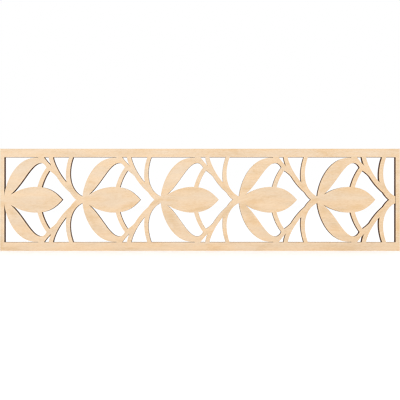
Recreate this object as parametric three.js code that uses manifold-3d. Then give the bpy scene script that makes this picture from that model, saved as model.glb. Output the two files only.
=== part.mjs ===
// Fretwork moulding: one flat board, pierced with a running pattern of leaves and
// curving stems between an upper and a lower rail.
// Millimetres. +X runs along the board, +Z is up and the face looks towards -Y.
// The origin is the middle of the flat back.

import * as THREE from "three";
import { mergeVertices } from "three/addons/utils/BufferGeometryUtils.js";
import Module from "manifold-3d";

// Sizes of the board
const panelLength = 1193.8;
const panelHeight = 304.8;
const thickness = 9.525;
const railWidth = 25.4;
const stileWidth = 12.7;

// Sizes of the stems
const spurWidth = 12.5;
const branchRootWidth = 12.5;
const branchTipWidth = 14.5;
const trunkRootWidth = 11.5;
const trunkTipWidth = 19.5;

// The pattern repeats along the board, and its lower half mirrors its upper half.
const repeatCount = 5;
const fieldLength = panelLength - 2 * stileWidth;
const repeatLength = fieldLength / repeatCount;
const halfField = panelHeight / 2 - railWidth;

// The last repeat stops this far short of the right stile.
const endGap = 1.1;

// Leaves and stems run this far into what they spring from.
const rootDepth = 0.4 * railWidth;

// The facets of a curved edge turn by no more than facetTurn degrees and are no longer
// than facetLength.
const facetTurn = 6;
const facetLength = 18;

// The pattern is drawn with points [along, up]: along is a share of the repeat's length,
// from its left end, and up is a share of the half field, from the centre line.
// side is 1 for the upper half and -1 for the lower.
function placer(repeat, side) {
  const left = repeat * repeatLength - fieldLength / 2;
  return ([along, up]) => new THREE.Vector2(left + along * repeatLength, side * up * halfField);
}

const insideRail = 1 + rootDepth / halfField;

// The places along a curve, as shares of the way from 0 to 1, where its facets meet.
function facetJoints(curve) {
  const samples = 64;
  const facetsUpTo = [0];
  for (let i = 0; i < samples; i += 1) {
    const here = i / samples;
    const next = (i + 1) / samples;
    const turn = THREE.MathUtils.radToDeg(curve.getTangent(here).angleTo(curve.getTangent(next)));
    const length = curve.getPoint(here).distanceTo(curve.getPoint(next));
    facetsUpTo.push(facetsUpTo[i] + Math.max(turn / facetTurn, length / facetLength));
  }
  const facetCount = Math.ceil(facetsUpTo[samples]);
  const joints = [0];
  for (let k = 1; k < facetCount; k += 1) {
    const wanted = (k / facetCount) * facetsUpTo[samples];
    const i = facetsUpTo.findIndex((facets) => facets >= wanted);
    const part = (wanted - facetsUpTo[i - 1]) / (facetsUpTo[i] - facetsUpTo[i - 1]);
    joints.push((i - 1 + part) / samples);
  }
  joints.push(1);
  return joints;
}

// Points along an edge, from a cubic curve's four points.
function edge(at, ...points) {
  const curve = new THREE.CubicBezierCurve(...points.map(at));
  return facetJoints(curve).map((way) => curve.getPoint(way));
}

// The board's border: two rails and two stiles round the open field.
function borderShape() {
  const border = new THREE.Shape();
  border.moveTo(-panelLength / 2, -panelHeight / 2);
  border.lineTo(panelLength / 2, -panelHeight / 2);
  border.lineTo(panelLength / 2, panelHeight / 2);
  border.lineTo(-panelLength / 2, panelHeight / 2);
  const field = new THREE.Path();
  field.moveTo(-fieldLength / 2, -halfField);
  field.lineTo(-fieldLength / 2, halfField);
  field.lineTo(fieldLength / 2, halfField);
  field.lineTo(fieldLength / 2, -halfField);
  border.holes.push(field);
  return border;
}

// The pointed leaf that lies on the centre line.
function heartLeafShape(repeat) {
  const base = [0, 0];
  const crown = [0.399, 0.303];
  const tip = [0.74, 0];
  const halfOutline = (side) => {
    const at = placer(repeat, side);
    const towardsCrown = edge(at, base, [0.084, 0.156], [0.241, crown[1]], crown);
    const towardsTip = edge(at, crown, [0.562, crown[1]], [0.648, 0.194], tip);
    return [...towardsCrown, ...towardsTip.slice(1)];
  };
  return new THREE.Shape([...halfOutline(1), ...halfOutline(-1).slice(1, -1).reverse()]);
}

// The arching leaf beside it. Its back rises nearly to the rail and meets it in a small
// step, and a narrow tail runs on from there into the branch.
function sideLeafShape(at) {
  const railStart = 0.433;
  const railEnd = 0.506;
  const crotch = [0.083, 0.125];
  const crown = [0.468, 0.863];
  const notch = [0.542, 0.722];
  const back = edge(at, [-0.005, 0], [0.006, 0.433], [0.158, 1.028], [railStart, 0.988]);
  const tail = edge(at, [railEnd, 1], [0.526, 0.945], [0.551, 0.887], [0.582, 0.831]);
  const belly = edge(at, crotch, [0.254, 0.406], [0.342, crown[1]], crown);
  const turn = edge(at, crown, [0.5, crown[1]], [0.539, 0.798], notch);
  return new THREE.Shape([
    ...back,
    at([railStart, insideRail]),
    at([railEnd, insideRail]),
    ...tail,
    at([0.677, 0.616]),
    at([0.676, 0.532]),
    at([0.587, 0.67]),
    ...turn.reverse(),
    ...belly.reverse().slice(1),
    at([crotch[0], 0]),
  ]);
}

// A stem is a band along a curve. Its width goes from rootWidth to tipWidth with the way
// along raised to the power swell. It runs on straight before the curve, by rootDepth, and
// past it to a point, by a quarter of its width.
function stemShape(at, spine, { rootWidth, tipWidth, swell }) {
  const curve = new THREE.CubicBezierCurve(...spine.map(at));
  const leftEdge = [];
  const rightEdge = [];
  const addSection = (way, width, beyond) => {
    const direction = curve.getTangent(way);
    const centre = curve.getPoint(way).addScaledVector(direction, beyond);
    const across = new THREE.Vector2(-direction.y, direction.x).multiplyScalar(width / 2);
    leftEdge.push(centre.clone().add(across));
    rightEdge.push(centre.clone().sub(across));
  };
  addSection(0, rootWidth, -rootDepth);
  for (const way of facetJoints(curve)) {
    addSection(way, rootWidth + (tipWidth - rootWidth) * way ** swell, 0);
  }
  const point = curve.getPoint(1).addScaledVector(curve.getTangent(1), tipWidth / 4);
  return new THREE.Shape([...leftEdge, point, ...rightEdge.reverse()]);
}

// The spur ties the heart leaf to the side leaf's tail.
function spurShape(at) {
  const spine = [[0.4475, 0.275], [0.475, 0.47], [0.518, 0.64], [0.583, 0.779]];
  return stemShape(at, spine, {
    rootWidth: spurWidth,
    tipWidth: spurWidth,
    swell: 1,
  });
}

// The branch runs from the rail into the trunk.
function branchShape(at) {
  const spine = [[0.594, 1], [0.611, 0.785], [0.721, 0.416], [0.862, 0.208]];
  return stemShape(at, spine, {
    rootWidth: branchRootWidth,
    tipWidth: branchTipWidth,
    swell: 1,
  });
}

// The trunk swings down from the rail and swells into the point where the next repeat starts.
function trunkShape(at) {
  const spine = [[0.853, 1], [0.781, 0.627], [0.796, 0.174], [0.991, 0]];
  return stemShape(at, spine, {
    rootWidth: trunkRootWidth,
    tipWidth: trunkTipWidth,
    swell: 2,
  });
}

// The slit between the last repeat's trunks and the right stile.
function endSlitShape() {
  const stile = fieldLength / 2;
  const reach = 1.5 * trunkTipWidth;
  return new THREE.Shape([
    new THREE.Vector2(stile - endGap, -reach),
    new THREE.Vector2(stile, -reach),
    new THREE.Vector2(stile, reach),
    new THREE.Vector2(stile - endGap, reach),
  ]);
}

function boardShapes() {
  const shapes = [borderShape()];
  for (let repeat = 0; repeat < repeatCount; repeat += 1) {
    shapes.push(heartLeafShape(repeat));
    for (const side of [1, -1]) {
      const at = placer(repeat, side);
      shapes.push(sideLeafShape(at), spurShape(at), branchShape(at), trunkShape(at));
    }
  }
  return shapes;
}

const wasm = await Module();
wasm.setup();

// The slab of one outline, from the back at z = 0 to the face.
function slab(shape) {
  const extruded = new THREE.ExtrudeGeometry(shape, { depth: thickness, bevelEnabled: false });
  extruded.deleteAttribute("normal");
  extruded.deleteAttribute("uv");
  const merged = mergeVertices(extruded);
  return new wasm.Manifold(new wasm.Mesh({
    numProp: 3,
    vertProperties: merged.attributes.position.array,
    triVerts: Uint32Array.from(merged.index.array),
  }));
}

function geometryOf(solid) {
  const { vertProperties, triVerts } = solid.getMesh();
  const geometry = new THREE.BufferGeometry();
  geometry.setAttribute("position", new THREE.BufferAttribute(vertProperties, 3));
  geometry.setIndex(new THREE.BufferAttribute(triVerts, 1));
  geometry.computeVertexNormals();
  return geometry;
}

function makeBoard() {
  const joined = boardShapes().map(slab).reduce((whole, piece) => whole.add(piece));
  const solid = joined.subtract(slab(endSlitShape()));
  const maple = new THREE.MeshStandardMaterial({ color: 0xf4d7b6, roughness: 0.6, metalness: 0 });
  const board = new THREE.Mesh(geometryOf(solid), maple);
  board.name = "fretwork_board";
  // The outlines are drawn flat: this stands the board up with its back on y = 0.
  board.rotation.x = Math.PI / 2;
  return board;
}

const moulding = new THREE.Group();
moulding.add(makeBoard());

export default moulding;
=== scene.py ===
"""Fretwork moulding: a pale maple board, pierced with a running pattern of leaves and stems.

Metres. +X runs along the board, +Z is up and the face looks towards -Y. The back is on y = 0.
"""

from math import atan, ceil, radians

import bpy
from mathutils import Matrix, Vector
from mathutils.geometry import delaunay_2d_cdt


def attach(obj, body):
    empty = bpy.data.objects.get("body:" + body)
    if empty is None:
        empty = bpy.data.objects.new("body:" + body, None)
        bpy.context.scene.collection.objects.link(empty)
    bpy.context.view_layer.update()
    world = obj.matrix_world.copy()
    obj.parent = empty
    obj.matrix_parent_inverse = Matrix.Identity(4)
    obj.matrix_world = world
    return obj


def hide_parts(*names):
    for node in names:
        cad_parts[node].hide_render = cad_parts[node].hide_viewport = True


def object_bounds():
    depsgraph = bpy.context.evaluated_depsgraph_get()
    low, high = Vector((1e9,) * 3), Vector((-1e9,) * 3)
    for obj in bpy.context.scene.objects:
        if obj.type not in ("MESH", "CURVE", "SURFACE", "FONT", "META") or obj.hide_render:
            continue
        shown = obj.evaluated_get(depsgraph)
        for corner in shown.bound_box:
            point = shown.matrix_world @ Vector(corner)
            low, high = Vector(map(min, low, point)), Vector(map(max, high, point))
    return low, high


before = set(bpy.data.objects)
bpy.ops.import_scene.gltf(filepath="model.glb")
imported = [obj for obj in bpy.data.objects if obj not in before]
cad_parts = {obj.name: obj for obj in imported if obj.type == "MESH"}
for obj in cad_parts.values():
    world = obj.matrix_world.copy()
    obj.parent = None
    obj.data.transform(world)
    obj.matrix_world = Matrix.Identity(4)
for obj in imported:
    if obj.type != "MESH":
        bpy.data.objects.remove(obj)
cad_low, cad_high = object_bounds()

MM = 0.001

# The board, read from the frame
BOARD_LENGTH = cad_high.x - cad_low.x
FACE_Y = cad_low.y
BACK_Y = cad_high.y

# The cut outline
ARRIS = 0.25 * MM  # the edges of face and back are broken by this much
CORNER_TURN = radians(12)  # the outline is smooth where it turns by less
OUTLINE_STEP = 2.5 * MM  # about how far apart its points are
LEVEL_WITHIN = 0.01 * MM  # an edge that rises or leans by less is level or upright
CORNER_LIMIT = 0.3  # no corner moves in by more than ARRIS divided by this
FRONT_NORMAL = -0.99  # on the CAD board's face, the y of a normal is below this
DECIMALS = 6  # places are rounded to a micrometre, so that shared corners are equal

# What the triangulation is asked for: triangles inside the outline, with its openings left open
INSIDE_WITH_OPENINGS = 2
SAME_POINT = 1e-9  # points nearer to each other than this are one

# Colours of the wood
PALE_WOOD = "edd4b6"
MAPLE_WOOD = "e9cdab"
TAN_WOOD = "e1c096"
DARK_CUT = "5a4233"
BROWN_CUT = "6e5445"

# What the wood's colour is multiplied by
FIBRE_SHADE = (0.86, 0.80, 0.72, 1.0)
PINK_TINT = (0.965, 0.99, 1.03, 1.0)
YELLOW_TINT = (1.03, 1.01, 0.975, 1.0)

# The pieces of maple that face and back are cut from
FACE_SEED = 2.1
BACK_SEED = 0.7

# How fine each kind of figure in the wood is, along the board, through it and up it
WANDER_SCALE = (3.0, 1.0, 9.0)
SWELL_SCALE = (2.2, 1.0, 13.0)
BAND_SCALE = (4.0, 1.0, 60.0)
THREAD_SCALE = (16.0, 1.0, 640.0)
CLOUD_SCALE = (14.0, 1.0, 22.0)
FLECK_SCALE = (90.0, 1.0, 260.0)
FIBRE_SCALE = (110.0, 1.0, 2400.0)
WARMTH_SCALE = (7.0, 1.0, 40.0)
WAVER_SCALE = (14.0, 1.0, 30.0)

# How much each kind changes the wood's tone, which runs from pale below 0 to tan above it
RING_DEPTH = 0.07
BAND_DEPTH = 0.6
THREAD_DEPTH = 0.8
CLOUD_DEPTH = 0.55
FLECK_DEPTH = 1.0
RIGHT_END_DEPTH = 0.2  # for each metre to the right
WISP_DEPTH = 0.4
STREAK_DEPTH = 2.0  # how much the threads streak the wisps

# How far the grain lines wander and the wisps' edges waver, for each 1 of their noise
GRAIN_WANDER = 50 * MM
WISP_WAVER = 14 * MM

PALE_TONE = -0.4  # the wood is at its palest from this tone down,
TAN_TONE = 0.45  # and at its brownest from this one up
WISP_REACH = 1.3  # a wisp has faded out at this many times its half size
RING_CLOSENESS = 42.0  # a larger number draws more growth rings
FIBRES_FROM = 0.06  # the fibres start to show where their noise is above this,
FIBRES_FULL = 0.24  # and are at their darkest above this
NOISE_RANGE = (-0.2, 0.2)  # most of a noise's values
THREAD_RANGE = (-0.3, 0.3)
WOOD_ROUGHNESS = (0.52, 0.66)
WOOD_BUMP = 0.06 * MM

# Wisps of figure in the wood of the face: where along the board and how far up, length and
# height in millimetres, tilt in degrees, and strength, above 0 for tan and below it for pale
WISPS = (
    (-592, 60, 20, 160, 0, -0.5),
    (-590, -14, 30, 24, 0, 0.9),
    (-595, -130, 18, 60, 0, 1.3),
    (-570, -145, 90, 14, 0, 0.7),
    (-490, 138, 120, 24, 0, -0.4),
    (-540, 85, 90, 60, 45, -0.25),
    (-560, -38, 44, 18, -40, 0.9),
    (-510, 10, 80, 26, 0, -0.4),
    (-450, -5, 90, 40, 5, 0.7),
    (-480, -22, 80, 20, 0, 0.6),
    (-383, -22, 50, 18, 40, 1.2),
    (-380, 30, 80, 20, -50, 0.9),
    (-330, 138, 80, 18, 0, -0.5),
    (-325, 50, 44, 10, -8, 1.1),
    (-325, 2, 70, 22, 0, 0.7),
    (-300, 85, 70, 40, 45, -0.3),
    (-318, -66, 100, 28, -50, 0.9),
    (-282, 10, 50, 30, 0, -0.6),
    (-215, -19, 100, 22, 25, 1.0),
    (-205, -147, 50, 10, 0, 0.9),
    (-132, -6, 64, 18, 25, 1.2),
    (-90, -147, 60, 12, 0, -0.6),
    (-65, 80, 80, 40, 50, -0.7),
    (-85, 3, 60, 20, 0, 0.8),
    (-20, 116, 70, 12, 0, 0.6),
    (-20, 31, 90, 10, 0, 0.6),
    (10, -25, 120, 14, 8, 1.2),
    (-82, -62, 84, 32, -55, 1.1),
    (45, -140, 70, 20, 0, 0.8),
    (75, 36, 60, 18, -45, 0.8),
    (80, -36, 70, 16, 50, 1.1),
    (105, 142, 40, 14, -20, 0.6),
    (115, -140, 80, 20, 0, -0.5),
    (140, 34, 40, 14, 10, 1.0),
    (165, 78, 44, 34, 40, 0.6),
    (150, -10, 110, 28, 15, 1.2),
    (164, -23, 60, 14, -15, 0.7),
    (217, 12, 50, 9, 8, 0.8),
    (146, -42, 90, 28, -55, 1.1),
    (190, -141, 70, 20, 30, 0.8),
    (240, 142, 100, 16, 0, -0.5),
    (275, -142, 100, 18, 0, -0.8),
    (305, 42, 40, 20, -45, 0.6),
    (338, -4, 44, 14, 25, 1.0),
    (370, 30, 44, 26, 10, 1.1),
    (375, 138, 60, 8, -20, 0.7),
    (414, 92, 44, 18, 45, 0.5),
    (435, 30, 110, 9, 6, 0.4),
    (455, 3, 120, 24, 0, -0.6),
    (465, -19, 64, 16, 0, 1.2),
    (425, -29, 130, 10, 3, 0.6),
    (368, -30, 20, 26, 0, 0.8),
    (402, -78, 64, 30, -35, 1.0),
    (420, -142, 150, 18, 0, 0.6),
    (540, -38, 44, 18, 45, 1.0),
    (540, 140, 130, 20, 0, -0.6),
    (530, -146, 130, 14, 0, -0.9),
    (593, 65, 16, 80, 0, -0.6),
    (593, -60, 16, 90, 0, 0.8),
)

# The dark brown walls of the cuts
STRIPE_SCALE = (900.0, 60.0, 900.0)
STAIN_SCALE = (40.0, 120.0, 40.0)
STRIPE_DEPTH = 0.4
STAIN_DEPTH = 0.6
CUT_ROUGHNESS = 0.85
CUT_SPECULAR = 0.2
CUT_BUMP = 0.05 * MM

# The camera looks straight at the board, whose two ends just touch the sides of the picture.
CAMERA_DISTANCE = 1.026
CAMERA_DROP = 0.75 * MM  # how far it sits below the board's centre line
CLIP_START = 0.05  # nothing nearer to the camera shows
CRISPNESS = 0.08
SCREEN_GAMMA = 2.2

# A white sky, and a square lamp above and in front of the board
SKY_STRENGTH = 1.0
LAMP_HEIGHT = 1.9
LAMP_SIZE = 2.2
LAMP_FORWARD = 0.9
LAMP_POWER = 10.0

# The floor
FLOOR_SIZE = 16.0
FLOOR_SCALE = (40.0, 40.0, 40.0)
FLOOR_RANGE = (-0.5, 0.5)  # all of a noise's values
FLOOR_ROUGHNESS = 0.9
FLOOR_BUMP = 0.01 * MM
WHITE = (1.0, 1.0, 1.0, 1.0)
OFF_WHITE = (0.97, 0.97, 0.97, 1.0)


def srgb(code):
    """A colour such as "e6c9a5" as Blender's linear RGBA."""
    channels = [int(code[i : i + 2], 16) / 255 for i in (0, 2, 4)]
    linear = [c / 12.92 if c <= 0.04045 else ((c + 0.055) / 1.055) ** 2.4 for c in channels]
    return (*linear, 1.0)


# The outline


def face_loops(board):
    """The closed loops of points (x, z) round the flat face of the CAD board.

    Seen from the front, the wood is on the left of every edge.
    """
    edges = set()
    for polygon in board.data.polygons:
        if polygon.normal.y > FRONT_NORMAL:
            continue
        places = [board.data.vertices[i].co for i in polygon.vertices]
        corners = [(round(p.x, DECIMALS), round(p.z, DECIMALS)) for p in places]
        edges.update(zip(corners, corners[1:] + corners[:1]))
    following = {a: b for a, b in sorted(edges) if (b, a) not in edges}
    loops = []
    while following:
        start, here = following.popitem()
        loop = [Vector(start)]
        while here != start:
            loop.append(Vector(here))
            here = following.pop(here)
        loops.append(loop)
    return loops


def around(loop, i):
    """The loop's point i, with the one before it and the one after it."""
    return loop[i - 1], loop[i], loop[(i + 1) % len(loop)]


def turn_at(loop, i):
    """How far the loop turns at its point i."""
    before, here, after = around(loop, i)
    return abs((here - before).angle_signed(after - here))


def is_level(a, b):
    """True for an edge that runs exactly along the board or up it, as rails and stiles do."""
    return min(abs(a.x - b.x), abs(a.y - b.y)) < LEVEL_WITHIN


def smooth_run(points):
    """The points of a smooth curve through the given ones, without the last of them.

    They are about OUTLINE_STEP apart. The curve is a cubic from each given point to the next.
    """
    if len(points) == 2:
        return [points[0]]
    chords = [(b - a).length for a, b in zip(points, points[1:])]
    slopes = [(b - a) / chord for a, b, chord in zip(points, points[1:], chords)]
    inner = [
        (slopes[i] * chords[i + 1] + slopes[i + 1] * chords[i]) / (chords[i] + chords[i + 1])
        for i in range(len(slopes) - 1)
    ]
    tangents = [2 * slopes[0] - inner[0], *inner, 2 * slopes[-1] - inner[-1]]
    run = []
    for i, chord in enumerate(chords):
        steps = max(1, ceil(chord / OUTLINE_STEP))
        for k in range(steps):
            t = k / steps
            run.append(
                points[i] * (2 * t**3 - 3 * t**2 + 1)
                + tangents[i] * chord * (t**3 - 2 * t**2 + t)
                + points[i + 1] * (3 * t**2 - 2 * t**3)
                + tangents[i + 1] * chord * (t**3 - t**2)
            )
    return run


def smooth_loop(loop):
    """The loop with its facets made into curves, and the set of its corners' numbers."""
    count = len(loop)
    corners = {i for i in range(count) if turn_at(loop, i) > CORNER_TURN}
    level = {i for i in range(count) if is_level(loop[i], loop[(i + 1) % count])}
    # Each curve ends at a corner or where a level edge starts or ends.
    breaks = sorted(corners | level | {(i + 1) % count for i in level})
    smooth = []
    sharp = set()
    for start, end in zip(breaks, breaks[1:] + [breaks[0] + count]):
        if start in corners:
            sharp.add(len(smooth))
        smooth += smooth_run([loop[i % count] for i in range(start, end + 1)])
    return smooth, sharp


def inset(loop, i):
    """The step from a point of the loop into the wood that moves both its edges in by ARRIS."""
    before, here, after = around(loop, i)
    steps = (here - before, after - here)
    normals = [Vector((-step.y, step.x)).normalized() for step in steps]
    middle = (normals[0] + normals[1]).normalized()
    return middle * ARRIS / max(CORNER_LIMIT, middle.dot(normals[0]))


# The board

FACE, CUT, BACK = range(3)  # its material slots, in their order


def make_board():
    """The board with true curves and lightly broken edges, in place of the CAD board's facets."""
    outline = [smooth_loop(loop) for loop in face_loops(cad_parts["fretwork_board"])]
    ring_size = sum(len(loop) for loop, _ in outline)

    # Four rings round every loop: the face's edge, the two edges of the cut, and the back's edge
    flat = []
    edge_of_cut = []
    loops = []
    corners = set()
    for loop, sharp in outline:
        first = len(flat)
        corners |= {first + i for i in sharp}
        flat += [loop[i] + inset(loop, i) for i in range(len(loop))]
        edge_of_cut += loop
        loops.append(list(range(first, len(flat))))
    rings = (
        (flat, FACE_Y),
        (edge_of_cut, FACE_Y + ARRIS),
        (edge_of_cut, BACK_Y - ARRIS),
        (flat, BACK_Y),
    )
    vertices = [(p.x, y, p.y) for ring, y in rings for p in ring]

    # Triangles of the face, and the same turned over for the back
    _, _, triangles, origins, _, _ = delaunay_2d_cdt(
        flat, [], loops, INSIDE_WITH_OPENINGS, SAME_POINT
    )
    face = [[origins[i][0] for i in triangle] for triangle in triangles]
    back_ring = (len(rings) - 1) * ring_size
    back = [[back_ring + i for i in reversed(triangle)] for triangle in face]

    # Bands of four-sided faces between the rings
    sides = [(i, j) for loop in loops for i, j in zip(loop, loop[1:] + loop[:1])]
    bands = []
    for ring in range(len(rings) - 1):
        near = ring * ring_size
        far = near + ring_size
        bands.append([(near + j, near + i, far + i, far + j) for i, j in sides])
    face_arris, cut, back_arris = bands

    parts = ((face + face_arris, FACE), (cut, CUT), (back_arris + back, BACK))
    polygons = [polygon for part, _ in parts for polygon in part]
    kinds = [kind for part, kind in parts for _ in part]

    mesh = bpy.data.meshes.new("fretwork_moulding")
    mesh.from_pydata(vertices, [], polygons)
    mesh.polygons.foreach_set("material_index", kinds)
    mesh.polygons.foreach_set("use_smooth", [True] * len(kinds))
    # Shading is smooth only along the outline's curves: every other edge is sharp.
    for edge in mesh.edges:
        a, b = edge.vertices
        across_rings = a // ring_size != b // ring_size
        edge.use_edge_sharp = not across_rings or a % ring_size in corners
    mesh.validate()
    board = bpy.data.objects.new("fretwork_moulding", mesh)
    bpy.context.collection.objects.link(board)
    return board


# Materials


class Nodes:
    """Makes and links the nodes of one material."""

    def __init__(self, name):
        self.material = bpy.data.materials.new(name)
        self.material.use_nodes = True
        self.tree = self.material.node_tree
        self.tree.nodes.clear()

    def add(self, kind, inputs, **settings):
        """A new node. Each of its inputs is given a value, or a socket to be linked to."""
        node = self.tree.nodes.new("ShaderNode" + kind)
        for name, value in settings.items():
            setattr(node, name, value)
        for key, value in inputs.items():
            if isinstance(value, bpy.types.NodeSocket):
                self.tree.links.new(value, node.inputs[key])
            else:
                node.inputs[key].default_value = value
        return node

    def place(self):
        """Where a point of the surface is, in the board's own metres."""
        return self.add("TexCoord", {}).outputs["Object"]

    def shifted(self, vector, *steps):
        """The vector moved by three steps, each a number or a socket."""
        step = self.add("CombineXYZ", dict(enumerate(steps))).outputs[0]
        return self.add("VectorMath", {0: vector, 1: step}, operation="ADD").outputs[0]

    def noise(self, vector, scale, detail=2.0, roughness=0.5, distortion=0.0):
        """Smooth noise round 0, mostly between -0.25 and 0.25, and finer for a larger scale."""
        factors = {0: vector, 1: scale}
        inputs = {
            "Vector": self.add("VectorMath", factors, operation="MULTIPLY").outputs[0],
            "Scale": 1.0,
            "Detail": detail,
            "Roughness": roughness,
            "Distortion": distortion,
        }
        # The node's own values lie round 0.5.
        value = self.add("TexNoise", inputs).outputs[0]
        return self.math("SUBTRACT", value, 0.5)

    def math(self, operation, *values):
        """The result of an operation such as "ADD" on numbers or sockets."""
        return self.add("Math", dict(enumerate(values)), operation=operation).outputs[0]

    def total(self, *parts):
        """The sum of (value, amount) pairs."""
        result = 0.0
        for value, amount in parts:
            result = self.math("MULTIPLY_ADD", value, amount, result)
        return result

    def remap(self, value, low, high, to_low=0.0, to_high=1.0, smooth=True):
        """The value with low made into to_low and high into to_high, and kept between them."""
        kind = "SMOOTHSTEP" if smooth else "LINEAR"
        inputs = {0: value, 1: low, 2: high, 3: to_low, 4: to_high}
        return self.add("MapRange", inputs, interpolation_type=kind).outputs[0]

    def blend(self, factor, a, b, blend_type="MIX"):
        """A mix of two colours. The Mix node has them at 6 and 7, and the result at 2."""
        inputs = {0: factor, 6: a, 7: b}
        return self.add("Mix", inputs, data_type="RGBA", blend_type=blend_type).outputs[2]

    def finish(self, colour, roughness, height, height_scale, specular=0.5):
        """Ends the tree in a shader, with a bump that is height_scale deep."""
        bump = self.add("Bump", {"Strength": 1.0, "Distance": height_scale, "Height": height})
        inputs = {
            "Base Color": colour,
            "Roughness": roughness,
            "Specular IOR Level": specular,
            "Normal": bump.outputs[0],
        }
        shader = self.add("BsdfPrincipled", inputs)
        self.add("OutputMaterial", {"Surface": shader.outputs[0]})
        return self.material


def wisps(n):
    """How far the soft, wavering wisps darken the wood, or lighten it where below 0."""
    place = n.place()
    waver = n.noise(place, WAVER_SCALE)
    wavered = n.shifted(place, 0.0, 0.0, n.math("MULTIPLY", waver, WISP_WAVER))
    amount = 0.0
    for x, z, length, height, tilt, strength in WISPS:
        inputs = {
            "Vector": wavered,
            "Location": (x * MM, 0.0, z * MM),
            "Rotation": (0.0, radians(-tilt), 0.0),
            "Scale": (length / 2 * MM, 1.0, height / 2 * MM),
        }
        within = n.add("Mapping", inputs, vector_type="TEXTURE").outputs[0]
        distance = n.add("VectorMath", {0: within}, operation="LENGTH").outputs["Value"]
        amount = n.math("ADD", amount, n.remap(distance, WISP_REACH, 0.0, 0.0, strength))
    return amount


def maple(name, seed, with_wisps):
    """Plain-sliced maple, with its grain along the board."""
    n = Nodes(name)
    place = n.shifted(n.place(), 0.0, seed, 0.0)

    # The grain lines wander slowly up and down.
    wander = n.noise(place, WANDER_SCALE, detail=1.0)
    bent = n.shifted(place, 0.0, 0.0, n.math("MULTIPLY", wander, GRAIN_WANDER))

    # Long arches of the growth rings, as level lines of a broad swell
    swell = n.noise(bent, SWELL_SCALE, roughness=0.45)
    rings = n.math("SINE", n.math("MULTIPLY", swell, RING_CLOSENESS))
    # Bands of lighter and darker wood, fine threads in them, cloudy patches and small flecks
    bands = n.noise(bent, BAND_SCALE)
    threads = n.noise(bent, THREAD_SCALE, detail=3.0, roughness=0.6)
    clouds = n.noise(place, CLOUD_SCALE, detail=3.0, roughness=0.55, distortion=0.6)
    flecks = n.noise(place, FLECK_SCALE, roughness=0.6)
    # The board is a little darker towards its right end.
    along = n.add("SeparateXYZ", {0: place}).outputs[0]
    tone = n.total(
        (rings, RING_DEPTH),
        (bands, BAND_DEPTH),
        (threads, THREAD_DEPTH),
        (clouds, CLOUD_DEPTH),
        (flecks, FLECK_DEPTH),
        (along, RIGHT_END_DEPTH),
    )
    if with_wisps:
        # The threads run through the wisps too.
        streaks = n.math("MULTIPLY_ADD", threads, STREAK_DEPTH, 1.0)
        figure = n.math("MULTIPLY", wisps(n), streaks)
        tone = n.math("MULTIPLY_ADD", figure, WISP_DEPTH, tone)

    from_pale = n.remap(tone, PALE_TONE, 0.0, smooth=False)
    to_tan = n.remap(tone, 0.0, TAN_TONE, smooth=False)
    colour = n.blend(from_pale, srgb(PALE_WOOD), srgb(MAPLE_WOOD))
    colour = n.blend(to_tan, colour, srgb(TAN_WOOD))

    # Fine short fibres, a little darker
    fibres = n.noise(bent, FIBRE_SCALE, roughness=0.6)
    shaded = n.remap(fibres, FIBRES_FROM, FIBRES_FULL)
    colour = n.blend(shaded, colour, FIBRE_SHADE, blend_type="MULTIPLY")

    # Some of it is pinker and some yellower.
    warmth = n.noise(bent, WARMTH_SCALE)
    tint = n.blend(n.remap(warmth, *NOISE_RANGE), PINK_TINT, YELLOW_TINT)
    colour = n.blend(1.0, colour, tint, blend_type="MULTIPLY")
    roughness = n.remap(threads, *THREAD_RANGE, *WOOD_ROUGHNESS, smooth=False)
    return n.finish(colour, roughness, threads, WOOD_BUMP)


def dark_brown_cut():
    """The cut edges, in a dark brown, with faint stripes across the thickness."""
    n = Nodes("dark_brown_cut")
    place = n.place()
    stripes = n.noise(place, STRIPE_SCALE)
    stains = n.noise(place, STAIN_SCALE)
    tone = n.total((stripes, STRIPE_DEPTH), (stains, STAIN_DEPTH))
    colour = n.blend(n.remap(tone, *NOISE_RANGE), srgb(DARK_CUT), srgb(BROWN_CUT))
    return n.finish(colour, CUT_ROUGHNESS, stripes, CUT_BUMP, specular=CUT_SPECULAR)


# The stage


def make_floor():
    """A wide floor, level with the board's lower edge."""
    half = FLOOR_SIZE / 2
    corners = ((-half, -half), (half, -half), (half, half), (-half, half))
    mesh = bpy.data.meshes.new("floor")
    mesh.from_pydata([(x, y, cad_low.z) for x, y in corners], [], [(0, 1, 2, 3)])
    floor = bpy.data.objects.new("floor", mesh)
    n = Nodes("floor")
    grain = n.noise(n.place(), FLOOR_SCALE)
    colour = n.blend(n.remap(grain, *FLOOR_RANGE), OFF_WHITE, WHITE)
    mesh.materials.append(n.finish(colour, FLOOR_ROUGHNESS, grain, FLOOR_BUMP, specular=0.0))
    bpy.context.collection.objects.link(floor)


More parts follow.
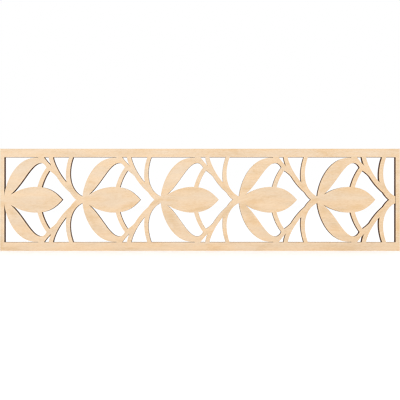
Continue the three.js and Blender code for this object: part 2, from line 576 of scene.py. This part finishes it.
def make_lights():
    """An even white sky, with one soft lamp that gives the faces a little shape."""
    world = bpy.data.worlds.new("studio")
    world.use_nodes = True
    sky = world.node_tree.nodes["Background"]
    sky.inputs["Color"].default_value = WHITE
    sky.inputs["Strength"].default_value = SKY_STRENGTH
    bpy.context.scene.world = world

    lamp = bpy.data.lights.new("softbox", "AREA")
    lamp.shape = "SQUARE"
    lamp.size = LAMP_SIZE
    lamp.energy = LAMP_POWER
    softbox = bpy.data.objects.new("softbox", lamp)
    softbox.location = (0.0, FACE_Y - LAMP_FORWARD, LAMP_HEIGHT)
    softbox.rotation_euler = (-softbox.location).to_track_quat("-Z", "Y").to_euler()
    bpy.context.collection.objects.link(softbox)


def make_camera():
    """The photograph's view."""
    camera = bpy.data.objects.new("camera", bpy.data.cameras.new("camera"))
    camera.data.sensor_fit = "HORIZONTAL"
    camera.data.angle = 2 * atan(BOARD_LENGTH / 2 / CAMERA_DISTANCE)
    camera.data.clip_start = CLIP_START
    camera.location = (0.0, FACE_Y - CAMERA_DISTANCE, -CAMERA_DROP)
    camera.rotation_euler = (radians(90), 0.0, 0.0)
    bpy.context.collection.objects.link(camera)
    bpy.context.scene.camera = camera
    bpy.context.scene.view_settings.view_transform = "Standard"


def sharpen_picture():
    """Sharpens the picture a little, as a camera does, in values near those of the screen."""
    scene = bpy.context.scene
    scene.use_nodes = True
    tree = scene.node_tree
    tree.nodes.clear()
    picture = tree.nodes.new("CompositorNodeRLayers").outputs["Image"]
    steps = (
        ("CompositorNodeGamma", {"Gamma": 1 / SCREEN_GAMMA}),
        ("CompositorNodeFilter", {"Fac": CRISPNESS}),
        ("CompositorNodeGamma", {"Gamma": SCREEN_GAMMA}),
    )
    for kind, values in steps:
        node = tree.nodes.new(kind)
        if kind == "CompositorNodeFilter":
            node.filter_type = "SHARPEN_DIAMOND"
        for name, value in values.items():
            node.inputs[name].default_value = value
        tree.links.new(picture, node.inputs["Image"])
        picture = node.outputs["Image"]
    output = tree.nodes.new("CompositorNodeComposite")
    tree.links.new(picture, output.inputs["Image"])


board = make_board()
board.data.materials.append(maple("maple_face", FACE_SEED, with_wisps=True))
board.data.materials.append(dark_brown_cut())
board.data.materials.append(maple("maple_back", BACK_SEED, with_wisps=False))
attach(board, "root")
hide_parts("fretwork_board")

make_floor()
make_lights()
make_camera()
sharpen_picture()
